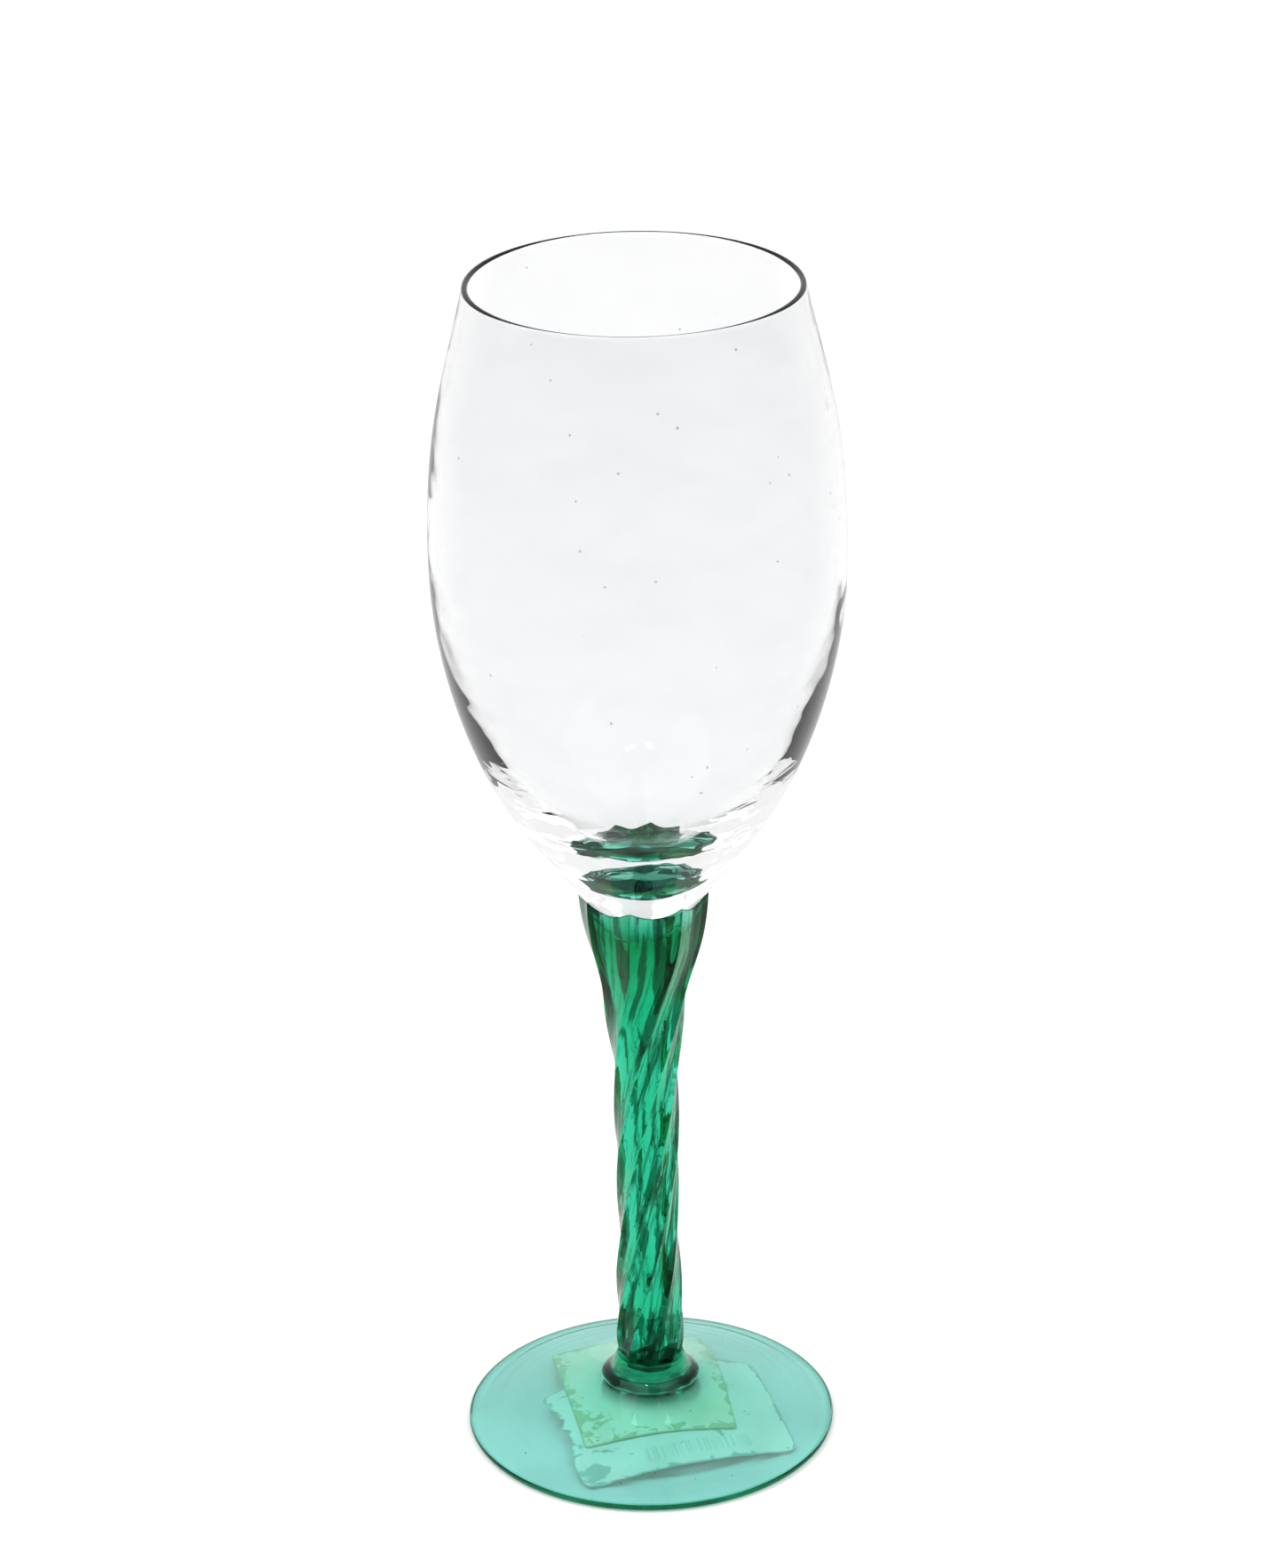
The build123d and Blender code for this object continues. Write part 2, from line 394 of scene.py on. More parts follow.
def cup_lip_rows(curve, edge, rim, rim_height, azimuth):
    """Rings that round the cup's edge over onto the bowl."""
    shoulder_height = edge - CUP_LIP
    shoulder = np.interp(shoulder_height, curve[:, 1], curve[:, 0]) * (1 - COLUMN_DEPTHS)
    shoulder = shoulder + streaks(shoulder_height)
    crest = edge - CREST_DROP
    rows = []
    for t in np.linspace(0, 1, LIP_STEPS + 1)[1:]:
        radius = shoulder * (1 - t * t) + rim * t * t
        height = shoulder_height * (1 - t) ** 2 + crest * 2 * t * (1 - t) + rim_height * t * t
        rows.append(ring(radius, height, azimuth))
    return rows


def seat_rows(outer, rim, azimuth):
    """Rings of the seat, which reaches a little into the bowl, down to its pole."""
    rows = []
    for share in np.linspace(1, 0, SEAT_ROWS)[1:-1]:
        radius = rim * share
        height = np.interp(radius, outer[:, 0], outer[:, 1])
        rows.append(ring(radius, height + OVERLAP / MM, azimuth))
    rows.append(np.array([[0.0, 0.0, BOWL_LOW.z + OVERLAP]]))
    return rows


def drawn_rows(side, seat):
    """Untwisted place of every ring: the height on the side, the marked radius on the seat."""
    drawn = []
    for row in side:
        drawn.append(drawn_ring(float(np.mean(row[:, 2])) / MM, len(row)))
    for row in seat:
        reach = float(np.mean(np.hypot(row[:, 0], row[:, 1]))) / MM
        drawn.append(drawn_ring(SEAT_MARK + reach, len(row)))
    return drawn


def make_stem(material):
    """Twisted stem with its bulb below and its cup above, closed by the seat under the bowl."""
    curve = stem_curve()
    outer = bowl_outer()[:SEAT_CURVE]
    edge = cup_edge(curve)
    azimuth = phase(edge) + COLUMN_ANGLES
    rim_height = edge - CUP_LIP * LIP_SLOPE
    rim = np.interp(rim_height, outer[:, 1], outer[:, 0])
    side = stem_side_rows(curve, edge) + cup_lip_rows(curve, edge, rim, rim_height, azimuth)
    seat = seat_rows(outer, rim, azimuth)
    drawn = drawn_rows(side, seat)
    return skin("twisted_stem", side + seat, material, ["stem"], drawn)


def make_collar(material):
    """Flared ring on the foot, with a recess that reaches a little into the stem's bulb."""
    curve = stem_curve()
    azimuth = phase(COLLAR_TOP) + COLUMN_ANGLES
    flank = spline(COLLAR_FLANK, (-0.75, 0.66), (-0.3, 1), 40)
    rows = [np.array([[0.0, 0.0, COLLAR_BASE * MM - OVERLAP]])]
    for radius in COLLAR_BASE_RINGS:
        rows.append(ring(radius, COLLAR_BASE - OVERLAP / MM, azimuth))
    for radius, height in flank:
        rows.append(ring(radius, height, azimuth))
    rows.append(ring(COLLAR_LIP, COLLAR_TOP, azimuth))
    recess = curve[curve[:, 1] < COLLAR_TOP - RECESS_DROP][::-1]
    for radius, height in recess[:-1]:
        rows.append(stem_ring(radius, height, inset=OVERLAP / MM, lift=OVERLAP / MM))
    rows.append(np.array([[0.0, 0.0, curve[0, 1] * MM + OVERLAP]]))
    return skin("collar_ring", rows, material, ["foot_collar"])


def under_curve():
    """Hollow underside of the foot, radius and height in millimetres, from the axis to the bead."""
    return spline(FOOT_UNDER, (1, 0), (1, -0.19), 120)


def foot_wobble(radius, height, angles):
    return waviness(radius, height, angles, FOOT_WAVES)


def make_foot(material):
    """Conical disc: hollow underside, rounded edge, rippled top and the flat under the collar."""
    edge = spline(FOOT_EDGE, (1, 0), (-0.9, 0.3), 24)
    top = spline(FOOT_TOP, (-1, 0.18), (-0.85, 0.5), 220)
    band = window(top[:, 0], RIPPLES_FROM, RIPPLES_IN, RIPPLES_TO, RIPPLES_OUT)
    top[:, 1] += RIPPLE_HEIGHT * band * np.sin(top[:, 0] * RIPPLE_RATE)
    flat = np.array([(6.0, COLLAR_BASE), (3.0, COLLAR_BASE), (0.0, COLLAR_BASE)])
    profile = np.concatenate([under_curve(), edge, top[1:], flat])
    rows = lathe_rows(profile, FOOT_COLUMNS, foot_wobble)
    return skin("conical_foot", rows, material, ["foot"])


def sheet_points(label):
    """Points of a label's top and bottom in metres, and each one's place on the flat sheet in mm
    with its distance from the border."""
    width, depth = label["size"]
    corner = label["corner"]
    turn = math.radians(label["turn"])
    under = under_curve()
    rng = random.Random(label["seed"])
    top, bottom, sheet = [], [], []
    for j in range(PAPER_ALONG + 1):
        even = j / PAPER_ALONG
        v = -math.cos(math.pi * even) * 0.5 * END_CROWDING + (even - 0.5) * (1 - END_CROWDING)
        y = v * depth
        past = max(0.0, abs(y) - (depth / 2 - corner))
        cut = corner - math.sqrt(max(corner * corner - past * past, 0.0))
        left = -width / 2 + cut + label["tear"](y / depth, rng)
        right = width / 2 - cut
        for i in range(PAPER_ACROSS + 1):
            x = left + (right - left) * i / PAPER_ACROSS
            px = label["middle"][0] + x * math.cos(turn) - y * math.sin(turn)
            py = label["middle"][1] + x * math.sin(turn) + y * math.cos(turn)
            glass_height = float(np.interp(math.hypot(px, py), under[:, 0], under[:, 1]))
            z = glass_height - label["gap"] - label["wrinkle"](x / width, y / depth)
            top.append((px * MM, py * MM, z * MM))
            bottom.append((px * MM, py * MM, (z - PAPER_THICKNESS) * MM))
            sheet.append((x, y, min(x - left, right - x, depth / 2 - abs(y))))
    return top, bottom, sheet


def sheet_faces():
    """Faces of a closed sheet whose bottom grid follows its top grid in the list of points."""
    stride = PAPER_ACROSS + 1
    count = stride * (PAPER_ALONG + 1)
    faces = []
    for j in range(PAPER_ALONG):
        for i in range(PAPER_ACROSS):
            a = j * stride + i
            faces.append((a, a + 1, a + 1 + stride, a + stride))
            faces.append((count + a, count + a + stride, count + a + 1 + stride, count + a + 1))
    loop = list(range(stride))
    loop += [j * stride + PAPER_ACROSS for j in range(1, PAPER_ALONG + 1)]
    loop += [PAPER_ALONG * stride + i for i in range(PAPER_ACROSS - 1, -1, -1)]
    loop += [j * stride for j in range(PAPER_ALONG - 1, 0, -1)]
    for a, b in zip(loop, loop[1:] + loop[:1]):
        faces.append((b, a, count + a, count + b))
    return faces


def paper(name, label, material, node):
    """Sheet of paper that follows the underside of the foot, with its two faces and its edge."""
    top, bottom, sheet = sheet_points(label)
    mesh = bpy.data.meshes.new(name)
    mesh.from_pydata(top + bottom, [], sheet_faces())
    mesh.update()
    add_attribute(mesh, "sheet", sheet + sheet)
    return piece_from(name, mesh, material, [node], crease=60.0)


def no_tear(v, rng):
    """A whole left edge."""
    return 0.0


def torn_edge(v, rng):
    """Ragged left edge, in millimetres lost at v up the sheet: torn in the middle, whole near the
    corners."""
    inside = max(0.0, 1 - (abs(v - TEAR_MIDDLE) / TEAR_HALF) ** 2)
    coarse = TEAR_TEETH * noise.noise(Vector((v * TEAR_TEETH_RATE, 4.0, 0.0)))
    fine = TEAR_FRAY * noise.noise(Vector((v * TEAR_FRAY_RATE, 9.0, 0.0)))
    return inside * (TEAR_DEPTH + coarse + fine + rng.uniform(-FIBRE_ENDS, FIBRE_ENDS))


def small_wrinkle(u, v):
    """Gap to the glass in millimetres: slight waves, and a lower left corner that hangs a little."""
    corner = max(0.0, 1 - math.hypot(u + 0.5, v + 0.5) / 0.35)
    waves = 1 + noise.noise(Vector((u * 5, v * 5, 1.0)))
    return SMALL_CORNER_GAP * corner + SMALL_WAVES * waves


def large_wrinkle(u, v):
    """Gap to the small label in millimetres: a loose, bubbled lower left corner and a slight wave
    along the lower edge."""
    corner = max(0.0, 1 - math.hypot(u + 0.42, v + 0.42) / 0.42)
    folds = 0.5 + 0.5 * noise.noise(Vector((u * 11, v * 11, 7.0)))
    edge = max(0.0, -v - 0.3) / 0.2
    return LARGE_CORNER_GAP * corner * folds + LARGE_EDGE_WAVE * edge * (1 + math.sin(u * 14)) / 2


SMALL_LABEL = {
    "size": (29.0, 35.0), "corner": 0.6, "middle": (-1.5, 2.5), "turn": 11.0,
    "gap": 0.05, "tear": no_tear, "wrinkle": small_wrinkle, "seed": 3,
}
LARGE_LABEL = {
    "size": (42.0, 29.5), "corner": 2.5, "middle": (3.3, -7.8), "turn": 17.0,
    "gap": 0.42, "tear": torn_edge, "wrinkle": large_wrinkle, "seed": 5,
}


# Materials: volume colours take up light along its path, surface colours at each face
WHITE = (1.0, 1.0, 1.0)
STEM_GREEN = (0.0, 0.82, 0.66)
STEM_DENSITY = 340.0
FOOT_GREEN = (0.0, 0.82, 0.70)
FOOT_DENSITY = 70.0
CLEAR_SURFACE = (0.890, 0.893, 0.898)
CLEAR_FILM = (0.873, 0.877, 0.884)
FOOT_SURFACE = (0.540, 0.826, 0.792)
FOOT_FILM = (0.505, 0.775, 0.741)
COLLAR_TINT = (0.70, 0.88, 0.8)
# painted shade: the dark green of the stem's streaks, outlines and bulb end, and of the collar's ring
PAINTED_SHADE_TINT = (0.015, 0.08, 0.055)
# painted shade on the seat, seen through the bowl's base
SEAT_SHADE_TINT = (0.0004, 0.006, 0.004)
CUP_TINT = (0.30, 0.64, 0.46)          # deeper tint towards the cup's edge, where the cup thins
# painted shade at the foot's outer edge
EDGE_TINT = (0.14, 0.55, 0.42)
CLEAR_SPECK = (0.3, 0.3, 0.3)
FOOT_SPECK = (0.12, 0.22, 0.2)

# Share of a head-on reflection that each glass keeps
CLEAR_REFLECTION = (0.30, 0.30, 0.30)
STEM_REFLECTION = (0.10, 0.30, 0.24)
COLLAR_REFLECTION = (0.22, 0.38, 0.33)
FOOT_REFLECTION = (0.35, 0.45, 0.42)

# Soiling of the glass: noise scale, detail, distortion and stretch, and the levels it shows between;
# last, the painted light where clear glass turns edge-on
FILM_NOISE = (40.0, 6.0, 1.0, (1, 1, 2.5))
FILM_LEVELS = (0.42, 0.60)
HANDLED_NOISE = (140.0, 4.0, 0.6)
HANDLED_LEVELS = (0.55, 0.8)
GRAZING_LIGHT_LEVELS = (0.5, 0.8)

# Painted shade in the stem's streaks, outlines, bulb end and seat, and the deeper cup: scale round it,
# stretch along it and detail, and the levels they show between
BROAD_STREAKS = (2.6, 0.012, 5.0)
STREAK_SHADE_LEVELS = (0.505, 0.555)
FINE_STREAKS = (7.0, 0.007, 4.0)
FINE_SHADE_LEVELS = (0.57, 0.62)
OUTLINE_SHADE_LEVELS = (0.62, 0.92)
BULB_TEETH = (3.4, 0.05, 2.0)
TEETH_REACH = 3.0          # millimetres by which the bulb's dark end is jagged
BULB_END = (17.0, 15.5)    # heights between which the bulb's end darkens
CUP_DEEPENS = (94.0, 107.0)
CUP_PATCHES = (2.0, 0.02, 2.0)
SEAT_RAGGED = (2.2, 0.0, 3.0)
SEAT_REACH = 2.2
SEAT_BAND = (7.6, 7.9)     # radii between which the seat darkens
SEAT_BREAKS = (3.1, 0.35, 3.0)
BREAK_LEVELS = (0.40, 0.44)
HALF_EDGE = 0.5            # the band ends within this distance of the seat's middle line
EDGE_BAND = (34.25, 34.6)  # radii between which the foot's edge darkens

# Painted shade in a dark ring on the collar: radii where it comes in and goes out, and the lighter gap
# in front
RING_INNER = (6.8, 7.4)
RING_OUTER = (8.7, 9.1)
RING_NOISE = (420.0, 3.0)
RING_RAGGED = 0.5
RING_GAP = (2.0, 5.0)

# Labels: colour, stain and glue, how far glue shows in from the edge, and its corner on the sheet
CREAM = ((0.98, 0.90, 0.78), (0.98, 0.87, 0.68), (0.52, 0.58, 0.36), 3.5, (-14.0, -17.0))
PALE = ((0.98, 0.89, 0.85), (0.95, 0.87, 0.81), (0.42, 0.52, 0.48), 1.5, (-18.0, -11.0))
FIBRE_NOISE = (1500.0, 3.0, 0.4, (1, 3, 1))
STAIN_NOISE = (120.0, 3.0)
STAIN_LEVELS = (0.4, 0.7)
GLUE_NOISE = (340.0, 4.0, 0.8)
CORNER_GLUE = (3.0, 14.0)  # millimetres from the glued corner between which the glue dies away
WET_LEVELS = (0.66, 0.72)
CUT_EDGE = (0.15, 0.45)    # millimetres from the border between which the cut edge's shade ends
BARS_LOW = (-8.0, -12.5)
BARS_HIGH = (13.0, -8.5)
BAR_GREY = (0.55, 0.55, 0.52)
BAR_SHARE = 0.30
BAR_FADE = 0.6


def new_material(name):
    """New material, with its nodes, its links and its main shader."""
    material = bpy.data.materials.new(name)
    material.use_nodes = True
    tree = material.node_tree
    return material, tree.nodes, tree.links, tree.nodes["Principled BSDF"]


def add_noise(nodes, links, scale, detail, distortion=0.0, stretch=(1, 1, 1)):
    """Noise in object space, stretched along the axes. Returns its value socket."""
    place = nodes.new("ShaderNodeTexCoord")
    mapping = nodes.new("ShaderNodeMapping")
    mapping.inputs["Scale"].default_value = stretch
    texture = nodes.new("ShaderNodeTexNoise")
    texture.inputs["Scale"].default_value = scale
    texture.inputs["Detail"].default_value = detail
    texture.inputs["Distortion"].default_value = distortion
    links.new(place.outputs["Object"], mapping.inputs["Vector"])
    links.new(mapping.outputs["Vector"], texture.inputs["Vector"])
    return texture.outputs["Fac"]


def remap(nodes, links, value, low, high, new_low, new_high):
    """Takes a value from one range to another, held at the ends."""
    node = nodes.new("ShaderNodeMapRange")
    node.inputs["From Min"].default_value = low
    node.inputs["From Max"].default_value = high
    node.inputs["To Min"].default_value = new_low
    node.inputs["To Max"].default_value = new_high
    links.new(value, node.inputs["Value"])
    return node.outputs["Result"]


def mask(nodes, links, value, none_at, full_at, full=1.0):
    """Share that rises from 0 where the value is none_at to full where it is full_at."""
    return remap(nodes, links, value, none_at, full_at, 0.0, full)


def add_bump(nodes, links, value, strength, distance, shader):
    """Bumps of a height in metres in the shader's surface."""
    bump = nodes.new("ShaderNodeBump")
    bump.inputs["Strength"].default_value = strength
    bump.inputs["Distance"].default_value = distance
    links.new(value, bump.inputs["Height"])
    links.new(bump.outputs["Normal"], shader.inputs["Normal"])


def facing_away(nodes):
    """How far the surface turns from the line of sight, from 0 to 1."""
    slope = nodes.new("ShaderNodeLayerWeight")
    slope.inputs["Blend"].default_value = 0.5
    return slope.outputs["Facing"]


def glass(name, colour, density, ripple, ripple_scale, smudge, reflection, clean=WHITE, film=WHITE):
    """Glass with faint waves in its surface and smudges, that takes up its tint along the light's
    path. Clean is what the surface lets through, film is that where it is a little soiled, and
    reflection is the share of a head-on reflection that it keeps."""
    material, nodes, links, shader = new_material(name)
    cloud = add_noise(nodes, links, *FILM_NOISE)
    surface = mixed(nodes, links, mask(nodes, links, cloud, *FILM_LEVELS), clean, film)
    if not density:
        # painted light: clear glass drops its surface tint where it turns away from the line of sight,
        # lightening the bowl's edges
        grazing_light = mask(nodes, links, facing_away(nodes), *GRAZING_LIGHT_LEVELS)
        surface = mixed(nodes, links, grazing_light, surface, WHITE)
    links.new(surface, shader.inputs["Base Color"])
    shader.inputs["Transmission Weight"].default_value = 1.0
    shader.inputs["IOR"].default_value = 1.5
    shader.inputs["Specular Tint"].default_value = (*reflection, 1)
    handled = add_noise(nodes, links, *HANDLED_NOISE)
    smudges = mask(nodes, links, handled, *HANDLED_LEVELS, smudge)
    links.new(smudges, shader.inputs["Roughness"])
    add_bump(nodes, links, add_noise(nodes, links, ripple_scale, 2.0), ripple, 0.0002, shader)
    if density:
        volume = nodes.new("ShaderNodeVolumeAbsorption")
        volume.inputs["Color"].default_value = (*colour, 1)
        volume.inputs["Density"].default_value = density
        links.new(volume.outputs["Volume"], nodes["Material Output"].inputs["Volume"])
    return material


def mixed(nodes, links, factor, first, second):
    """Blend of two colours by a factor. Each is a colour or a colour socket."""
    mix = nodes.new("ShaderNodeMix")
    mix.data_type = "RGBA"
    for socket, value in (("A", first), ("B", second)):
        if isinstance(value, tuple):
            mix.inputs[socket].default_value = (*value, 1)
        else:
            links.new(value, mix.inputs[socket])
    links.new(factor, mix.inputs["Factor"])
    return mix.outputs["Result"]


def math_node(nodes, links, operation, first, second):
    """One step of arithmetic. Each value is a float or a socket."""
    node = nodes.new("ShaderNodeMath")
    node.operation = operation
    for socket, value in zip(node.inputs, (first, second)):
        if isinstance(value, float):
            socket.default_value = value
        else:
            links.new(value, socket)
    return node.outputs["Value"]


def combined(nodes, links, operation, values):
    """All the values put through one operation, one after the other."""
    result = values[0]
    for value in values[1:]:
        result = math_node(nodes, links, operation, result, value)
    return result


def tint_where(material, share, tint):
    """Blends the material's surface colour to a tint by a share."""
    nodes, links = material.node_tree.nodes, material.node_tree.links
    surface = nodes["Principled BSDF"].inputs["Base Color"]
    links.new(mixed(nodes, links, share, surface.links[0].from_socket, tint), surface)


def attribute_axes(nodes, links, name):
    """The X, Y and Z sockets of a mesh attribute, and the whole vector's socket."""
    place = nodes.new("ShaderNodeAttribute")
    place.attribute_name = name
    split = nodes.new("ShaderNodeSeparateXYZ")
    links.new(place.outputs["Vector"], split.inputs[0])
    return split.outputs, place.outputs["Vector"]


def object_axes(nodes, links):
    """The X, Y and Z sockets of the place in the object, in metres."""
    place = nodes.new("ShaderNodeTexCoord")
    split = nodes.new("ShaderNodeSeparateXYZ")
    links.new(place.outputs["Object"], split.inputs[0])
    return split.outputs


def drawn_noise(nodes, links, scale, stretch, detail):
    """Noise in the untwisted glass, so that on the stem it runs along the ridges."""
    place = nodes.new("ShaderNodeAttribute")
    place.attribute_name = "drawn"
    mapping = nodes.new("ShaderNodeMapping")
    mapping.inputs["Scale"].default_value = (1, 1, stretch)
    texture = nodes.new("ShaderNodeTexNoise")
    texture.inputs["Scale"].default_value = scale
    texture.inputs["Detail"].default_value = detail
    texture.inputs["Roughness"].default_value = 0.6
    links.new(place.outputs["Vector"], mapping.inputs["Vector"])
    links.new(mapping.outputs["Vector"], texture.inputs["Vector"])
    return texture.outputs["Fac"]


def side_painted_shade(nodes, links, level):
    """Share of the painted shade on the stem's sides: dark streaks and fine lines along the twist,
    dark outlines where the surface turns away, and the bulb's dark end.
    """
    broad = drawn_noise(nodes, links, *BROAD_STREAKS)
    fine = drawn_noise(nodes, links, *FINE_STREAKS)
    teeth = drawn_noise(nodes, links, *BULB_TEETH)
    teeth = remap(nodes, links, teeth, 0.35, 0.65, -TEETH_REACH, TEETH_REACH)
    bulb_level = math_node(nodes, links, "ADD", level, teeth)
    return combined(nodes, links, "MAXIMUM", [
        mask(nodes, links, broad, *STREAK_SHADE_LEVELS),
        mask(nodes, links, fine, *FINE_SHADE_LEVELS, 0.8),
        mask(nodes, links, facing_away(nodes), *OUTLINE_SHADE_LEVELS, 0.85),
        mask(nodes, links, bulb_level, *BULB_END, 0.9),
    ])


def cup_depth(nodes, links, level):
    """Share of the deeper tint near the cup's edge, uneven round the cup."""
    near_edge = mask(nodes, links, level, *CUP_DEEPENS)
    uneven = drawn_noise(nodes, links, *CUP_PATCHES)
    uneven = remap(nodes, links, uneven, 0.42, 0.52, 0.35, 1.0)
    return math_node(nodes, links, "MULTIPLY", near_edge, uneven)


def seat_painted_shade(nodes, links, level):
    """Share of the painted shade: a dark, broken band round the seat's rear half."""
    ragged = drawn_noise(nodes, links, *SEAT_RAGGED)
    ragged = remap(nodes, links, ragged, 0.3, 0.7, -SEAT_REACH, SEAT_REACH)
    reach = math_node(nodes, links, "ADD", level, ragged)
    breaks = drawn_noise(nodes, links, *SEAT_BREAKS)
    behind = object_axes(nodes, links)["Y"]
    return combined(nodes, links, "MULTIPLY", [
        mask(nodes, links, reach, SEAT_MARK + SEAT_BAND[0], SEAT_MARK + SEAT_BAND[1]),
        mask(nodes, links, breaks, *BREAK_LEVELS),
        mask(nodes, links, behind, -HALF_EDGE * MM, HALF_EDGE * MM),
    ])


def add_painted_shade(material):
    """Painted shade drawn out along the twist on the stem's sides, a deeper tint near the cup's edge,
    and painted shade in dark patches on the seat's rear half.
    """
    nodes, links = material.node_tree.nodes, material.node_tree.links
    axes, _ = attribute_axes(nodes, links, "drawn")
    level = axes["Z"]
    off_seat = math_node(nodes, links, "LESS_THAN", level, SEAT_MARK - 1.0)
    on_seat = math_node(nodes, links, "SUBTRACT", 1.0, off_seat)
    marks = math_node(nodes, links, "MULTIPLY", side_painted_shade(nodes, links, level), off_seat)
    deeper = math_node(nodes, links, "MULTIPLY", cup_depth(nodes, links, level), off_seat)
    patches = math_node(nodes, links, "MULTIPLY", seat_painted_shade(nodes, links, level), on_seat)
    wall = mixed(nodes, links, deeper, WHITE, CUP_TINT)
    sides = mixed(nodes, links, marks, wall, PAINTED_SHADE_TINT)
    shader = nodes["Principled BSDF"]
    links.new(mixed(nodes, links, patches, sides, SEAT_SHADE_TINT), shader.inputs["Base Color"])


def add_specks(material, spacing, radius, share, tint):
    """A few dark specks and seeds in the glass: a share of the cells of a random grid carry one."""
    nodes, links = material.node_tree.nodes, material.node_tree.links
    place = nodes.new("ShaderNodeTexCoord")
    cells = nodes.new("ShaderNodeTexVoronoi")
    cells.inputs["Scale"].default_value = 1 / spacing
    links.new(place.outputs["Object"], cells.inputs["Vector"])
    edge = radius / spacing
    near = mask(nodes, links, cells.outputs["Distance"], edge, edge * 0.6)
    split = nodes.new("ShaderNodeSeparateColor")
    links.new(cells.outputs["Color"], split.inputs["Color"])
    chosen = math_node(nodes, links, "LESS_THAN", split.outputs["Red"], share)
    tint_where(material, math_node(nodes, links, "MULTIPLY", near, chosen), tint)


def axis_distance(nodes, links):
    """Distance from the glass's axis, in metres."""
    place = nodes.new("ShaderNodeTexCoord")
    flat = nodes.new("ShaderNodeVectorMath")
    flat.operation = "MULTIPLY"
    flat.inputs[1].default_value = (1, 1, 0)
    length = nodes.new("ShaderNodeVectorMath")
    length.operation = "LENGTH"
    links.new(place.outputs["Object"], flat.inputs[0])
    links.new(flat.outputs["Vector"], length.inputs[0])
    return length.outputs["Value"]


def add_dark_edge(material):
    """Painted shade: deeper green at the foot's outer edge, where light that was led through the disc
    leaves it.
    """
    nodes, links = material.node_tree.nodes, material.node_tree.links
    inner, outer = EDGE_BAND
    edge = mask(nodes, links, axis_distance(nodes, links), inner * MM, outer * MM)
    tint_where(material, edge, EDGE_TINT)


def add_dark_ring(material):
    """Painted shade: dark ring low on the collar, where light is led away into the foot, darkest at
    its sides and lighter in front.
    """
    nodes, links = material.node_tree.nodes, material.node_tree.links
    ragged = add_noise(nodes, links, *RING_NOISE)
    ragged = remap(nodes, links, ragged, 0.3, 0.7, -RING_RAGGED * MM, RING_RAGGED * MM)
    radius = math_node(nodes, links, "ADD", axis_distance(nodes, links), ragged)
    sideways = math_node(nodes, links, "ABSOLUTE", object_axes(nodes, links)["X"], 0.0)
    ring_share = combined(nodes, links, "MULTIPLY", [
        mask(nodes, links, radius, RING_INNER[0] * MM, RING_INNER[1] * MM),
        remap(nodes, links, radius, RING_OUTER[1] * MM, RING_OUTER[0] * MM, 0.25, 1.0),
        remap(nodes, links, sideways, RING_GAP[0] * MM, RING_GAP[1] * MM, 0.70, 1.0),
    ])
    shader = nodes["Principled BSDF"]
    links.new(mixed(nodes, links, ring_share, COLLAR_TINT, PAINTED_SHADE_TINT), shader.inputs["Base Color"])


def add_bars(material, low, high):
    """Faint bars printed on the paper's far side, that show through between two corners in mm."""
    nodes, links = material.node_tree.nodes, material.node_tree.links
    axes, _ = attribute_axes(nodes, links, "sheet")
    texture = nodes.new("ShaderNodeTexNoise")
    texture.noise_dimensions = "1D"
    texture.inputs["Scale"].default_value = 1.7
    texture.inputs["Detail"].default_value = 0.0
    links.new(axes["X"], texture.inputs["W"])
    shares = [mask(nodes, links, texture.outputs["Fac"], 0.48, 0.54, BAR_SHARE)]
    for axis, first, last in (("X", low[0], high[0]), ("Y", low[1], high[1])):
        middle, half = (first + last) / 2, (last - first) / 2
        offset = math_node(nodes, links, "SUBTRACT", axes[axis], middle)
        distance = math_node(nodes, links, "ABSOLUTE", offset, 0.0)
        shares.append(mask(nodes, links, distance, half, half - BAR_FADE))
    tint_where(material, combined(nodes, links, "MULTIPLY", shares), BAR_GREY)


def label_paper(name, colour, stain, glue, glue_reach, corner):
    """Sticker paper seen through the glass: fibres and stains, dull patches where the glue wets the
    glass near the edges and over a corner, and a darker cut edge."""
    material, nodes, links, shader = new_material(name)
    fibre = add_noise(nodes, links, *FIBRE_NOISE)
    stained = mask(nodes, links, add_noise(nodes, links, *STAIN_NOISE), *STAIN_LEVELS)
    axes, place = attribute_axes(nodes, links, "sheet")
    border = axes["Z"]
    offset = nodes.new("ShaderNodeVectorMath")
    offset.operation = "DISTANCE"
    offset.inputs[1].default_value = (*corner, 0)
    links.new(place, offset.inputs[0])
    near_edge = remap(nodes, links, border, 0.3, glue_reach, 0.20, 0.0)
    near_corner = remap(nodes, links, offset.outputs["Value"], *CORNER_GLUE, 0.18, 0.0)
    reach = math_node(nodes, links, "MAXIMUM", near_edge, near_corner)
    wetness = math_node(nodes, links, "ADD", add_noise(nodes, links, *GLUE_NOISE), reach)
    wet = mask(nodes, links, wetness, *WET_LEVELS, 0.8)
    cut_edge = remap(nodes, links, border, *CUT_EDGE, 0.7, 0.0)
    dry = mixed(nodes, links, stained, colour, stain)
    glued = mixed(nodes, links, wet, dry, glue)
    links.new(mixed(nodes, links, cut_edge, glued, glue), shader.inputs["Base Color"])
    links.new(remap(nodes, links, fibre, 0.3, 0.7, 0.65, 0.9), shader.inputs["Roughness"])
    shader.inputs["Specular IOR Level"].default_value = 0.25
    add_bump(nodes, links, fibre, 0.25, 0.00004, shader)
    return material


